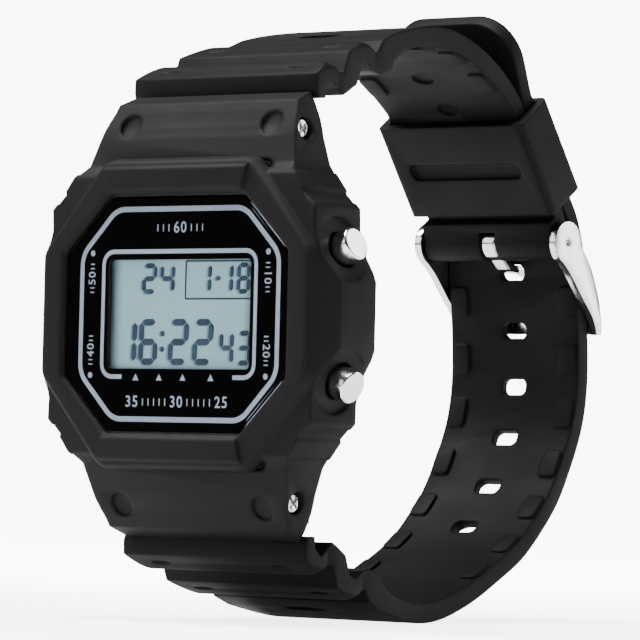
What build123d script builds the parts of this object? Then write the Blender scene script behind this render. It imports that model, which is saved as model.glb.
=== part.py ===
from build123d import *
import os
from math import cos, radians, sin

# Digital watch with a resin case, four pushers and a buckled rubber strap.
# Millimetres. +Z is 12 o'clock, +X is 3 o'clock and the dial faces -Y.
# The origin is the centre of the case back's outer face.

# Clearances shared by the pieces
seat_gap = 0.1
press_gap = 0.02
running_gap = 0.05
overrun = 1.0

# Crystal, and the octagon that the dial, crystal and bezel opening share
case_thick = 13.4
crystal_half_width = 16.2
crystal_half_height = 13.3
crystal_thick = 1.1
crystal_seat_depth = 0.6
octagon_top_share = 0.6
octagon_side_share = 0.52
octagon_corner = 1.2

# Bezel: the raised frame's bars, the flanks beside it and the shell's details
bezel_proud = 0.9
frame_bar_width = 3.3
frame_bar_height = 4.0
flank_width = 1.9
bezel_opening_gap = 0.2
frame_rise = 2.0
frame_flare = 0.85
frame_rim_round = 0.8
band_rise = 0.4
opening_flare = 0.6
dimple_radius = 1.5
dimple_slope = 22

front_y = -case_thick
crystal_front_y = front_y + bezel_proud
dial_front_y = crystal_front_y + crystal_thick
mask_rear_y = dial_front_y + crystal_seat_depth
frame_half_width = crystal_half_width + frame_bar_width
frame_half_height = crystal_half_height + frame_bar_height
body_half_width = frame_half_width + flank_width

# Case middle
bezel_flank_thick = 3.0
case_head_room = 3.9
case_corner_share = 0.62
case_corner = 1.2
case_foot_share = 0.9
case_foot_height = 3.2
case_rim_width = 1.3
case_rim_height = 1.5
case_rim_proud = 0.6
crystal_ledge = 1.6
crystal_end_ledge = 0.9
cavity_top_share = 0.56
cavity_side_share = 0.36
crystal_gasket_thick = 0.45
case_back_thick = 1.2

case_half_width = body_half_width - bezel_flank_thick
case_half_height = crystal_half_height + case_head_room
case_rim_half_width = crystal_half_width + case_rim_width
case_rim_half_height = crystal_half_height + case_rim_height
case_shoulder_y = dial_front_y + case_rim_proud
case_foot_y = -case_foot_height
case_rear_y = -case_back_thick
cavity_half_width = crystal_half_width - crystal_ledge
cavity_half_height = crystal_half_height - crystal_end_ledge

# Strap tongues between the lugs, the spring bars and the screws that hold the bezel
tongue_half_width = 8.6
lug_gap = 0.3
lug_width = 3.0
lug_tip_length = 1.6
lug_rear_height = 2.2
pivot_height = 3.9
pivot_rise = 4.4
bar_radius = 0.75
bar_tip_radius = 0.4
bar_tip_length = 1.3
bezel_screw_depth = 4.1
bezel_screw_drop = 0.7
screw_head_radius = 1.25
screw_head_thick = 1.15
screw_shank_radius = 0.55
screw_shank_length = 3.0
screw_ledge = 0.65
lug_skin = 1.0
lug_cover_wall = 2.2
cross_width = 0.32
cross_depth = 0.45

lug_inner_x = tongue_half_width + lug_gap
lug_outer_x = lug_inner_x + lug_width
lug_rear_y = -lug_rear_height
pivot_y = -pivot_height
pivot_z = case_half_height + pivot_rise
lug_tip_z = pivot_z + lug_tip_length
lug_cover_reach = lug_tip_z + lug_cover_wall
bezel_screw_y = dial_front_y + bezel_screw_depth
bezel_screw_z = pivot_z - bezel_screw_drop

# Pushers, which point outwards at an angle above and below the X axis
pusher_angle = 20
pusher_depth = 3.8
pusher_proud = 2.1
pusher_cap_radius = 1.9
pusher_cap_length = 3.1
pusher_travel = 0.8
pusher_stem_radius = 0.7
pusher_hole_gap = 0.3
scoop_radius = 3.8
scoop_inset = 0.1
spring_wire_radius = 0.14
spring_coil_radius = 1.15
spring_pocket_depth = 1.3
clip_radius = 1.4
clip_thick = 0.25
clip_groove_share = 0.7
seal_radius = 1.15
seal_length = 0.8

pusher_y = dial_front_y + pusher_depth
pusher_face_reach = body_half_width + pusher_proud
scoop_floor_reach = body_half_width - scoop_inset

# Module stack behind the crystal
window_side_border = 5.7
window_end_border = 7.1
window_corner = 0.5
lcd_side_margin = 0.6
lcd_end_margin = 1.25
lcd_thick = 1.4
backlight_thick = 0.45
board_thick = 0.8
board_below_pushers = 2.0
zebra_height = 1.1
zebra_inset = 1.2
battery_end_room = 2.4
battery_thick = 1.6
battery_clip_thick = 0.2
battery_clip_width = 3.2
battery_clip_room = 1.4
pusher_bore_share = 0.8
chip_half = 2.6
chip_thick = 0.7
piezo_radius = 7.5
piezo_thick = 0.25
leaf_thick = 0.15
leaf_half_width = 0.6
buzzer_spring_radius = 0.6
buzzer_spring_inset = 2.2

window_half_width = crystal_half_width - window_side_border
window_half_height = crystal_half_height - window_end_border
battery_radius = cavity_half_height - battery_end_room
lcd_half_width = window_half_width + lcd_side_margin
lcd_half_height = window_half_height + lcd_end_margin
lcd_rear_y = mask_rear_y + running_gap + lcd_thick
board_front_y = pusher_y + board_below_pushers
zebra_half_width = lcd_half_width - zebra_inset
battery_clip_reach = battery_radius + battery_clip_room
buzzer_spring_x = cavity_half_width - buzzer_spring_inset

# Case back
back_rim_width = 1.0
back_rim_height = 2.3
back_screw_inset = 3.4
back_screw_drop = 4.4
back_screw_head_radius = 1.05
back_screw_head_thick = 0.5
back_screw_shank_radius = 0.5
back_screw_shank_length = 2.6
back_gasket_depth = 0.5
back_gasket_inset = 0.35
back_gasket_width = 0.5
back_rib = 0.35
back_ring_share = 0.72

back_half_width = cavity_half_width + back_rim_width
back_half_height = cavity_half_height + back_rim_height
back_screw_x = back_half_width - back_screw_inset
back_screw_z = back_half_height - back_screw_drop

# Loop of the closed strap: reach behind the case back and swell past the lug bars
loop_reach = 54.1
loop_swell = 13.5
loop_rise = pivot_z + loop_swell

# Strap sections
knuckle_radius = 1.9
tongue_front_share = 0.4
tongue_rear_share = 0.6
tongue_length = 4.4
ridge_reach = 16.1
ridge_rise = 11.0
strap_end_thick = 1.85
strap_hole_thick = 2.4
strap_case_half_width = 13.5
strap_ridge_half_width = 11.4
strap_mid_half_width = 10.0
strap_half_width = 9.6
ridge_corner = 2.0
dimple_size = 1.0
hole_half_width = 1.8
hole_half_length = 1.0
hole_corner_share = 0.8
hole_pitch = 7.2
hole_count = 7
pocket_margin = 1.1
pocket_share = 0.5
engaged_hole_reach = 9.2
pad_rise = 0.35
pad_length = 3.6
pad_corner = 0.6
pad_width = 2.5
pad_inset = 0.25
inner_dimple_depth = 0.35
tip_corner = 5.5
tip_reach = 9.6
tip_lift = 2.4

# Clasp: the stretch where both straps run side by side, and its lean
clasp_lean = 35.2
clasp_y_share = 0.7555
clasp_z_share = 0.5484
keeper_length = 12.6
keeper_inner_wall = 1.15
keeper_outer_wall = 0.85
keeper_side_wall = 1.0
keeper_room = 0.25
keeper_gap = 0.3
keeper_slot_inset = 2.5
keeper_slot_half_length = 1.2
keeper_slot_share = 0.6
keeper_slot_corner = 1.05
strap_overlap_gap = 0.3
keeper_travel = 1.0
straight_spare = 0.2
keeper_half_width = strap_half_width + keeper_room + keeper_side_wall

# Buckle, its end bar and its prong, with the bar's offset from the pivot
buckle_down = 10.8
buckle_out = 0.85
boss_radius = 2.6
arm_thick = 0.95
arm_gap = 0.2
end_bar_gap = 0.37
end_bar_path_share = 0.993
end_bar_drop = 10.0
end_bar_thick = 0.9
prong_width = 2.1
prong_thick = 0.9
prong_ring_radius = 1.9
buckle_bar_radius = 0.75
buckle_tip_share = 0.6
strap_end_radius = 2.1
strap_end_shoulder = 0.1


def prism_x(face_points, half_width):
    """Outline in Y and Z, extruded both ways along X."""
    face = make_face(Polyline(*face_points, close=True))
    return extrude(Plane.YZ * face, amount=half_width, both=True)


def prism_y(face, low_y, high_y):
    """Face drawn in X and Z, extruded from low_y to high_y."""
    return extrude(Plane.XZ.offset(-high_y) * face, amount=high_y - low_y)


def outline(points, corner=0):
    """Closed face through the points, with rounded corners where corner isn't zero."""
    face = make_face(Polyline(*points, close=True))
    if corner:
        face = fillet(face.vertices(), corner)
    return face


def four_ways(points):
    """Closed outline that repeats the points of the upper right quarter."""
    right_down = [(x, -z) for x, z in reversed(points)]
    left_down = [(-x, -z) for x, z in points]
    left_up = [(-x, z) for x, z in reversed(points)]
    return list(points) + right_down + left_down + left_up


def octagon(half_width, half_height):
    """Octagon of the dial family, with its corners rounded."""
    corner = (half_width * octagon_top_share, half_height)
    side = (half_width, half_height * octagon_side_share)
    return outline(four_ways([corner, side]), octagon_corner)


def module_octagon(grow=0):
    """Octagon of the case's cavity, grown all round."""
    corner = (cavity_half_width * cavity_top_share, cavity_half_height + grow)
    side = (cavity_half_width + grow, cavity_half_height * cavity_side_share)
    return outline(four_ways([corner, side]), octagon_corner)


def rod(start, direction, radius, length):
    """Cylinder that starts at a point and runs along a direction."""
    base = Plane(origin=start, z_dir=direction)
    return base * Cylinder(radius, length, align=(Align.CENTER, Align.CENTER, Align.MIN))


def rod_x(y, z, radius, low_x, high_x):
    """Cylinder along X between two stations."""
    return rod((low_x, y, z), (1, 0, 0), radius, high_x - low_x)


def both_sides(shape):
    """The shape and its mirror image across the plane X = 0."""
    return shape + mirror(shape, about=Plane.YZ)


def both_ends(shape):
    """The shape and its mirror image across the plane Z = 0."""
    return shape + mirror(shape, about=Plane.XY)


# Pusher axes

pusher_places = {
    "light": (1, 1),
    "start": (1, -1),
    "reset": (-1, 1),
    "mode": (-1, -1),
}


def pusher_direction(place):
    """Outward direction of the pusher in the named quarter."""
    side, end = pusher_places[place]
    return (side * cos(radians(pusher_angle)), 0, end * sin(radians(pusher_angle)))


def pusher_rod(place, radius, low_reach, high_reach):
    """Cylinder on a pusher's axis between two distances from the case centre."""
    direction = pusher_direction(place)
    start = (direction[0] * low_reach, pusher_y, direction[2] * low_reach)
    return rod(start, direction, radius, high_reach - low_reach)


cap_under_reach = pusher_face_reach - pusher_cap_length
spot_face_reach = cap_under_reach - pusher_travel - seat_gap * 3
spring_seat_reach = spot_face_reach - spring_pocket_depth
seal_seat_reach = spring_seat_reach - seal_length
clip_face_reach = cavity_half_width / cos(radians(pusher_angle)) - seat_gap * 3
bore_start_reach = clip_face_reach * pusher_bore_share
pusher_end_reach = clip_face_reach - clip_thick - seat_gap * 4
spring_pocket_radius = spring_coil_radius + spring_wire_radius + seat_gap
leaf_reach = pusher_end_reach - pusher_travel - seat_gap * 2


# Case middle

def lug_points(grow=0, rear=lug_rear_y):
    """Side outline of one upper lug, in Y and Z, grown towards the bezel."""
    front = bezel_screw_y - lug_skin - grow
    return [
        (front - lug_skin * 0.7, case_half_height - overrun),
        (front, bezel_screw_z),
        (front + lug_skin * 1.3, lug_tip_z + grow),
        (rear, lug_tip_z + grow),
        (rear, case_half_height - overrun),
    ]


def tongue_points(grow=0):
    """Side outline of the upper strap's tongue, in Y and Z, grown towards its faces."""
    front = pivot_y - knuckle_radius * tongue_front_share - grow
    rear = pivot_y + knuckle_radius * tongue_rear_share + grow
    top = pivot_z + tongue_length
    return [(front, pivot_z), (rear, pivot_z), (rear, top), (front, top)]


def case_outline(grow=0, foot=1):
    """Front outline of the case body, grown all round or shrunk towards its foot."""
    wide = case_half_width * foot + grow
    high = case_half_height * foot + grow
    quarter = [(wide * case_corner_share, high), (wide, high * case_corner_share)]
    return outline(four_ways(quarter), case_corner)


def make_case_middle():
    body = prism_y(case_outline(), case_shoulder_y, case_foot_y)
    body += prism_y(case_outline(foot=case_foot_share), case_shoulder_y, case_rear_y)
    body += prism_y(octagon(case_rim_half_width, case_rim_half_height),
                    dial_front_y - case_rim_proud, case_shoulder_y + overrun)
    lug = Pos((lug_outer_x + lug_inner_x) / 2, 0, 0) * prism_x(lug_points(), (lug_outer_x - lug_inner_x) / 2)
    case = body + both_ends(both_sides(lug))
    case -= prism_y(module_octagon(), front_y, overrun)
    seat = crystal_gasket_thick + press_gap * 2
    case -= prism_y(octagon(crystal_half_width + seat, crystal_half_height + seat),
                    front_y, mask_rear_y)
    for place in pusher_places:
        case -= pusher_rod(place, pusher_cap_radius + pusher_hole_gap, spot_face_reach, body_half_width * 2)
        case -= pusher_rod(place, spring_pocket_radius, spring_seat_reach, spot_face_reach + overrun)
        case -= pusher_rod(place, seal_radius + press_gap, seal_seat_reach, spring_seat_reach + overrun)
        stem_way = pusher_stem_radius + running_gap
        case -= pusher_rod(place, stem_way, bore_start_reach, seal_seat_reach + overrun)
        case -= pusher_rod(place, clip_radius + seat_gap, bore_start_reach, clip_face_reach)
    bar_hole = rod_x(pivot_y, pivot_z, bar_tip_radius + press_gap,
                     lug_inner_x - overrun, lug_inner_x + bar_tip_length + seat_gap)
    screw_hole = rod_x(bezel_screw_y, bezel_screw_z, screw_shank_radius + press_gap,
                       lug_outer_x + screw_ledge - screw_shank_length - seat_gap, lug_outer_x + overrun)
    case -= both_ends(both_sides(bar_hole + screw_hole))
    for hole in back_screw_places():
        case -= rod(hole, (0, -1, 0), back_screw_shank_radius + press_gap,
                    back_screw_shank_length + seat_gap)
    return case - back_gasket_ring(press_gap)


# Bezel

def bezel_outline():
    """Front outline of the bezel, upper right quarter, as shares of the body size."""
    quarter_shares = (
        (0.600, 1.000), (0.661, 0.827), (0.705, 0.669), (0.738, 0.626),
        (0.747, 0.632), (0.818, 0.556), (0.815, 0.539), (0.862, 0.500),
        (0.880, 0.496), (0.908, 0.472), (0.903, 0.378), (0.940, 0.256),
        (0.981, 0.193), (1.000, 0.150),
    )
    return outline(four_ways([(x * body_half_width, z * lug_cover_reach) for x, z in quarter_shares]))


def bezel_side_outline():
    """Side outline of the bezel in Y and Z, upper half then its mirror image."""
    upper_shares = (
        (0.875, 0.620), (0.772, 0.669), (0.706, 0.786), (0.672, 0.838), (0.630, 0.882),
        (0.593, 0.917), (0.567, 0.953),
        (0.372, 0.994), (0.340, 0.945), (0.315, 0.870), (0.320, 0.790), (0.300, 0.701),
        (0.290, 0.655), (0.280, 0.472), (0.231, 0.180),
    )
    upper = [(-y * case_thick, z * lug_cover_reach) for y, z in upper_shares]
    return upper + [(y, -z) for y, z in reversed(upper)]


def bezel_plan_outline():
    """Plan outline of the bezel body, which draws in towards the front."""
    half_shares = ((0.944, 0.875), (0.965, 0.800), (1.000, 0.690), (1.000, 0.231))
    right = [(x * body_half_width, -y * case_thick) for x, y in half_shares]
    left = [(-x, y) for x, y in reversed(right)]
    return make_face(Polyline(*right, *left, close=True))


def frame_ring(grow, rise):
    """Outline of the raised frame, grown sideways and raised at the ends."""
    top_share = 0.54
    side_share = 0.405
    wide = frame_half_width + grow
    high = frame_half_height + rise
    return outline(four_ways([(wide * top_share, high), (wide, high * side_share)]), octagon_corner * 2)


def bezel_frame():
    """Raised octagonal frame round the crystal, wider at its foot."""
    low_front_y = front_y + band_rise
    foot_y = front_y + frame_rise * 1.1
    front = Plane.XZ.offset(-low_front_y) * frame_ring(0, 0)
    foot = Plane.XZ.offset(-foot_y) * frame_ring(frame_flare, frame_flare / 2)
    frame = loft([front, foot])
    return fillet(frame.faces().sort_by(Axis.Y)[0].edges(), frame_rim_round)


def frame_band():
    """Low raised plate on the frame's upper bar, with slanted ends."""
    half_shares = ((0.510, 0.803), (0.549, 0.970))
    right = [(x * frame_half_width, z * frame_half_height) for x, z in half_shares]
    left = [(-x, z) for x, z in reversed(right)]
    plate = prism_y(outline(right + left), front_y, front_y + frame_rise)
    outer_edge = plate.faces().sort_by(Axis.Y)[0].edges().sort_by(Axis.Z)[-1]
    return chamfer(outer_edge, band_rise)


def opening_bevel():
    """Sloping wall that opens the bezel out from the crystal to the front."""
    wide = crystal_half_width + bezel_opening_gap
    high = crystal_half_height + bezel_opening_gap
    front = Plane.XZ.offset(-front_y) * octagon(wide + opening_flare, high + opening_flare)
    rear = Plane.XZ.offset(-crystal_front_y) * octagon(wide, high)
    return loft([front, rear])


def dimple(x_share, y_share, z_share):
    """Shallow round dimple sunk in the sloping cover."""
    slope = (0, -cos(radians(dimple_slope)), sin(radians(dimple_slope)))
    place = (x_share * body_half_width, -y_share * case_thick, z_share * lug_cover_reach)
    return rod(place, slope, dimple_radius, overrun * 3)


def make_bezel():
    body = prism_y(bezel_outline(), front_y, 0)
    body &= prism_x(bezel_side_outline(), body_half_width * 2)
    body &= extrude(bezel_plan_outline(), amount=lug_cover_reach * 2, both=True)
    bezel = body + bezel_frame() + both_ends(frame_band())
    opening = octagon(crystal_half_width + bezel_opening_gap, crystal_half_height + bezel_opening_gap)
    bezel -= prism_y(opening, front_y - overrun, overrun)
    bezel -= opening_bevel()
    fit = seat_gap * 1.5
    bezel -= prism_y(case_outline(fit), case_shoulder_y - fit, overrun)
    bezel -= prism_y(octagon(case_rim_half_width + fit, case_rim_half_height + fit),
                     dial_front_y - case_rim_proud - fit, overrun)
    bezel -= both_ends(prism_x(lug_points(fit, overrun), lug_outer_x + fit))
    bezel -= both_ends(prism_x(tongue_points(fit), lug_outer_x + fit))
    ledge_x = lug_outer_x + screw_ledge
    shank_way, head_way = screw_shank_radius + seat_gap, screw_head_radius + seat_gap
    screw_way = rod_x(bezel_screw_y, bezel_screw_z, shank_way, lug_inner_x, body_half_width)
    screw_way += rod_x(bezel_screw_y, bezel_screw_z, head_way, ledge_x, body_half_width)
    bezel -= both_ends(both_sides(screw_way))
    bezel -= both_ends(both_sides(dimple(0.486, 0.628, 0.846)))
    for place in pusher_places:
        bezel -= pusher_rod(place, scoop_radius, scoop_floor_reach, body_half_width * 2)
        cap_way = pusher_cap_radius + pusher_hole_gap
        bezel -= pusher_rod(place, cap_way, cavity_half_width, body_half_width * 2)
    return bezel


# Screws with a cross recess in the head

def screw(place, direction, head_radius, head_thick, shank_radius, shank_length):
    """Pan head screw whose head starts at place and whose shank runs along direction."""
    outward = tuple(-c for c in direction)
    head_plane = Plane(origin=place, z_dir=outward)
    head = head_plane * Cylinder(head_radius, head_thick, align=(Align.CENTER, Align.CENTER, Align.MIN))
    head = fillet(head.edges().sort_by(Axis(place, outward))[-1:], head_thick * 0.4)
    body = head + rod(place, direction, shank_radius, shank_length)
    slot_plane = Plane(origin=place, z_dir=outward).offset(head_thick - cross_depth)
    low = (Align.CENTER, Align.CENTER, Align.MIN)
    slot = Box(cross_width, head_radius * 1.3, head_thick, align=low)
    slot += Box(head_radius * 1.3, cross_width, head_thick, align=low)
    return body - slot_plane * Rot(0, 0, 45) * slot


def make_bezel_screws():
    place = (lug_outer_x + screw_ledge, bezel_screw_y, bezel_screw_z)
    one = screw(place, (-1, 0, 0), screw_head_radius, screw_head_thick,
                screw_shank_radius, screw_shank_length)
    return both_ends(both_sides(one))


def back_screw_places():
    """Centres of the case back's four screws, on the inner face of their heads."""
    seat = -back_screw_head_thick
    return [(x, seat, z) for x in (-back_screw_x, back_screw_x) for z in (-back_screw_z, back_screw_z)]


def make_back_screws():
    screws = [
        screw(place, (0, -1, 0), back_screw_head_radius, back_screw_head_thick,
              back_screw_shank_radius, back_screw_shank_length)
        for place in back_screw_places()
    ]
    return Compound(children=screws)


# Crystal and its gasket

def make_crystal():
    crystal = prism_y(octagon(crystal_half_width, crystal_half_height), crystal_front_y, dial_front_y)
    rim_edges = crystal.faces().sort_by(Axis.Y)[0].edges()
    return chamfer(rim_edges, crystal_thick * 0.2)


def make_crystal_gasket():
    outer = octagon(crystal_half_width + crystal_gasket_thick, crystal_half_height + crystal_gasket_thick)
    inner = octagon(crystal_half_width + press_gap, crystal_half_height + press_gap)
    front = dial_front_y - case_rim_proud
    return prism_y(outer, front, mask_rear_y) - prism_y(inner, front - overrun, mask_rear_y + overrun)


# Dial mask and display


def make_dial_mask():
    plate = prism_y(octagon(crystal_half_width, crystal_half_height), dial_front_y, mask_rear_y)
    window = RectangleRounded(window_half_width * 2, window_half_height * 2, window_corner)
    return plate - prism_y(window, dial_front_y - overrun, mask_rear_y + overrun)


def make_lcd_panel():
    back_size = Rectangle(lcd_half_width * 2, lcd_half_height * 2)
    back_glass = prism_y(back_size, lcd_rear_y - lcd_thick / 2, lcd_rear_y)
    front_glass = prism_y(Rectangle(lcd_half_width * 2, (lcd_half_height - zebra_height) * 2),
                          lcd_rear_y - lcd_thick, lcd_rear_y - lcd_thick / 2)
    return back_glass + front_glass


def make_backlight():
    front = lcd_rear_y + running_gap
    size = Rectangle((lcd_half_width - seat_gap) * 2, (lcd_half_height - zebra_height - seat_gap * 2) * 2)
    return prism_y(size, front, front + backlight_thick)


def make_zebra_strips():
    depth = board_front_y - lcd_rear_y - running_gap * 2
    strip = Box(zebra_half_width * 2, depth, zebra_height - seat_gap * 2)
    strip = Pos(0, (board_front_y + lcd_rear_y) / 2, lcd_half_height - zebra_height / 2) * strip
    return both_ends(strip)


def make_module_frame():
    outer = prism_y(module_octagon(-seat_gap * 2), mask_rear_y + running_gap, board_front_y - running_gap)
    pocket = Rectangle((lcd_half_width + seat_gap) * 2, (lcd_half_height + seat_gap) * 2)
    outer -= prism_y(pocket, front_y, overrun)
    for place in pusher_places:
        outer -= pusher_rod(place, clip_radius + seat_gap * 2,
                            leaf_reach - leaf_thick, body_half_width)
        outer -= leaf_place(place) * leaf(leaf_reach, seat_gap)
    return outer


# Circuit board, chip, battery and sounder

def make_circuit_board():
    return prism_y(module_octagon(-seat_gap * 2), board_front_y, board_front_y + board_thick)


def make_chip():
    size = Rectangle(chip_half * 2, chip_half * 2)
    chip = prism_y(size, board_front_y - chip_thick, board_front_y)
    return fillet(chip.edges().filter_by(Axis.Y), chip_thick / 2)


battery_front_y = board_front_y + board_thick + running_gap
battery_rear_y = battery_front_y + battery_thick


def make_battery():
    cell = rod((0, battery_front_y, 0), (0, 1, 0), battery_radius, battery_thick)
    return fillet(cell.edges(), battery_thick * 0.12)


def make_battery_clip():
    span = battery_clip_reach
    low_y = board_front_y + board_thick
    high_y = battery_rear_y + running_gap + battery_clip_thick
    strap = prism_x([(high_y - battery_clip_thick, -span), (high_y, -span),
                     (high_y, span), (high_y - battery_clip_thick, span)], battery_clip_width / 2)
    foot = prism_x([(low_y, span - battery_clip_thick), (high_y, span - battery_clip_thick),
                    (high_y, span), (low_y, span)], battery_clip_width / 2)
    return strap + both_ends(foot)


def leaf_place(place):
    """Plane across a pusher's axis where its contact leaf faces the stem."""
    direction = pusher_direction(place)
    origin = (direction[0] * leaf_reach, pusher_y, direction[2] * leaf_reach)
    return Plane(origin=origin, x_dir=(0, 1, 0), z_dir=direction)


def leaf(room=0, grow=0):
    """Upright contact leaf that stands on the board, or the room cut for it."""
    half_length = board_front_y - running_gap - pusher_y + grow
    body = Pos(0, 0, -leaf_thick - grow)
    size = Box(half_length * 2, (leaf_half_width + grow) * 2, leaf_thick + grow + room,
               align=(Align.CENTER, Align.CENTER, Align.MIN))
    return body * size


def make_contact_springs():
    """Leaf contacts on the module's sides, one facing each pusher stem."""
    return Compound(children=[leaf_place(place) * leaf() for place in pusher_places])


def make_piezo_disc():
    return rod((0, case_rear_y - piezo_thick, 0), (0, 1, 0), piezo_radius, piezo_thick)


def make_buzzer_spring():
    low_y = board_front_y + board_thick
    outer = rod((buzzer_spring_x, low_y, 0), (0, 1, 0), buzzer_spring_radius, case_rear_y - low_y)
    return outer - rod((buzzer_spring_x, low_y - overrun, 0), (0, 1, 0),
                       buzzer_spring_radius / 2, case_rear_y - low_y + overrun * 2)


def make_module_cushion():
    front = battery_rear_y + battery_clip_thick + running_gap * 2
    rear = case_rear_y - piezo_thick - running_gap
    pad = prism_y(module_octagon(-seat_gap * 2), front, rear)
    return pad - rod((buzzer_spring_x, front - overrun, 0), (0, 1, 0),
                     buzzer_spring_radius + seat_gap * 2, case_thick)


# Case back with its gasket

def back_gasket_ring(grow=0):
    """Closed ring in the case's rear face, round the cavity."""
    outer = module_octagon(back_gasket_inset + back_gasket_width + grow)
    inner = module_octagon(back_gasket_inset - grow)
    low_y = case_rear_y - back_gasket_depth - grow
    return prism_y(outer, low_y, case_rear_y) - prism_y(inner, low_y - overrun, case_rear_y + overrun)


def make_case_back():
    corner = (back_half_width * case_corner_share, back_half_height)
    side = (back_half_width, back_half_height * case_corner_share)
    plate = prism_y(outline(four_ways([corner, side]), case_corner), case_rear_y, 0)
    raised_edges = plate.faces().sort_by(Axis.Y)[-1].edges()
    plate = chamfer(raised_edges, back_rib)
    ring_width, ring_height = back_half_width * back_ring_share, back_half_height * back_ring_share
    ring = octagon(ring_width, ring_height)
    groove = octagon(ring_width - back_rib, ring_height - back_rib)
    plate -= prism_y(ring, -back_rib / 2, overrun) - prism_y(groove, -back_rib, overrun * 2)
    for place in back_screw_places():
        plate -= rod(place, (0, 1, 0), back_screw_head_radius + seat_gap, back_screw_head_thick + overrun)
        plate -= rod(place, (0, -1, 0), back_screw_shank_radius + seat_gap, back_screw_shank_length)
    return plate


# Spring bars

def spring_bar(y, z, half_length, tip_length):
    """Bar with a body and a thinner tip at each end."""
    body = rod_x(y, z, bar_radius, -half_length, half_length)
    tips = rod_x(y, z, bar_tip_radius, -half_length - tip_length, half_length + tip_length)
    return body + tips


# Pushers

def make_pusher(place):
    cap = pusher_rod(place, pusher_cap_radius, cap_under_reach, pusher_face_reach)
    direction = pusher_direction(place)
    rim = cap.edges().sort_by(Axis((0, 0, 0), direction))[-1:]
    cap = fillet(rim, pusher_cap_radius * 0.14)
    stem = pusher_rod(place, pusher_stem_radius, pusher_end_reach, cap_under_reach + overrun)
    low_reach = clip_low_reach()
    groove = pusher_rod(place, pusher_stem_radius + overrun, low_reach, low_reach + clip_thick)
    core_radius = pusher_stem_radius * clip_groove_share
    groove -= pusher_rod(place, core_radius, pusher_end_reach - overrun, pusher_face_reach)
    return cap + stem - groove


def clip_low_reach():
    """Distance from the case centre to a pusher clip's inner face."""
    return clip_face_reach - running_gap - clip_thick


def make_pusher_clip(place):
    low = clip_low_reach()
    disc = pusher_rod(place, clip_radius, low, low + clip_thick)
    hub = pusher_rod(place, pusher_stem_radius * clip_groove_share, low - overrun, low + overrun)
    return disc - hub


def make_pusher_seals():
    seals = []
    for place in pusher_places:
        ring = pusher_rod(place, seal_radius, seal_seat_reach, seal_seat_reach + seal_length - running_gap)
        stem_way = pusher_stem_radius + running_gap
        ring -= pusher_rod(place, stem_way, seal_seat_reach - overrun, spring_seat_reach)
        seals.append(ring)
    return Compound(children=seals)


def make_pusher_spring(place):
    """Sleeve that takes the room of the coil between the case's pocket and the cap."""
    low = spring_seat_reach + press_gap
    high = cap_under_reach - press_gap
    sleeve = pusher_rod(place, spring_coil_radius + spring_wire_radius, low, high)
    return sleeve - pusher_rod(place, spring_coil_radius - spring_wire_radius, low - overrun, high + overrun)


# Clasp axes: along runs down the straps, out points away from the wrist

along = (sin(radians(clasp_lean)), -cos(radians(clasp_lean)))
out = (cos(radians(clasp_lean)), sin(radians(clasp_lean)))
clasp_y = clasp_y_share * loop_reach
clasp_z = clasp_z_share * loop_rise


def clasp_point(down, outward):
    """Point in Y and Z, down the straps and outwards from the middle of the keeper's inner face."""
    return (
        clasp_y + along[0] * down + out[0] * outward,
        clasp_z + along[1] * down + out[1] * outward,
    )


def clasp_block(low_down, high_down, low_out, high_out, half_width):
    """Block that lies along the clasp."""
    return prism_x([clasp_point(low_down, low_out), clasp_point(high_down, low_out),
                    clasp_point(high_down, high_out), clasp_point(low_down, high_out)], half_width)


inner_low = keeper_inner_wall + keeper_gap
inner_high = inner_low + strap_end_thick
outer_low = inner_high + strap_overlap_gap
outer_high = outer_low + strap_end_thick
keeper_depth = outer_high + keeper_gap + keeper_outer_wall
straight_half = keeper_length / 2 + keeper_travel + straight_spare
buckle_y, buckle_z = clasp_point(buckle_down, buckle_out)
end_bar_back = loop_reach * end_bar_path_share + end_bar_gap + end_bar_thick / 2 - buckle_y


# Straps: side outlines are shares of the ridge zone, measured from the lug's bar

ridge_outer_shares = (
    (-0.025, 0.277), (-0.050, 0.375), (-0.047, 0.523), (0.127, 0.673), (0.217, 0.582),
    (0.255, 0.568), (0.317, 0.573), (0.373, 0.800), (0.609, 0.936), (0.658, 0.882),
    (0.727, 0.832), (0.776, 0.836), (0.832, 0.964), (0.975, 1.055),
)
ridge_inner_shares = (
    (0.988, 0.755), (0.963, 0.673), (0.814, 0.609), (0.714, 0.636), (0.627, 0.718),
    (0.547, 0.673), (0.484, 0.468), (0.311, 0.336), (0.255, 0.391), (0.149, 0.482),
    (0.068, 0.400), (0.059, 0.277),
)
top_outer_shares = (
    (0.270, 0.966), (0.335, 0.984), (0.403, 0.995), (0.460, 0.991), (0.525, 0.969), (0.603, 0.922),
)
top_inner_shares = ((0.288, 0.905), (0.372, 0.924), (0.455, 0.925), (0.508, 0.908), (0.571, 0.870))
bottom_outer_shares = (
    (0.275, -0.966), (0.344, -0.985), (0.436, -0.986), (0.529, -0.952), (0.612, -0.903),
    (0.689, -0.843), (0.769, -0.772), (0.831, -0.689), (0.893, -0.584), (0.939, -0.464),
    (0.978, -0.330), (0.996, -0.179), (0.993, -0.007), (0.983, 0.142), (0.966, 0.313),
)


def ridge_points(shares):
    """Points of the ridge zone in Y and Z, on the 12 o'clock side."""
    return [(pivot_y + y * ridge_reach, pivot_z + z * ridge_rise) for y, z in shares]


def loop_points(shares):
    """Points of the loop in Y and Z."""
    return [(y * loop_reach, z * loop_rise) for y, z in shares]


def flipped(points):
    """The points on the other end's side."""
    return [(y, -z) for y, z in points]


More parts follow.
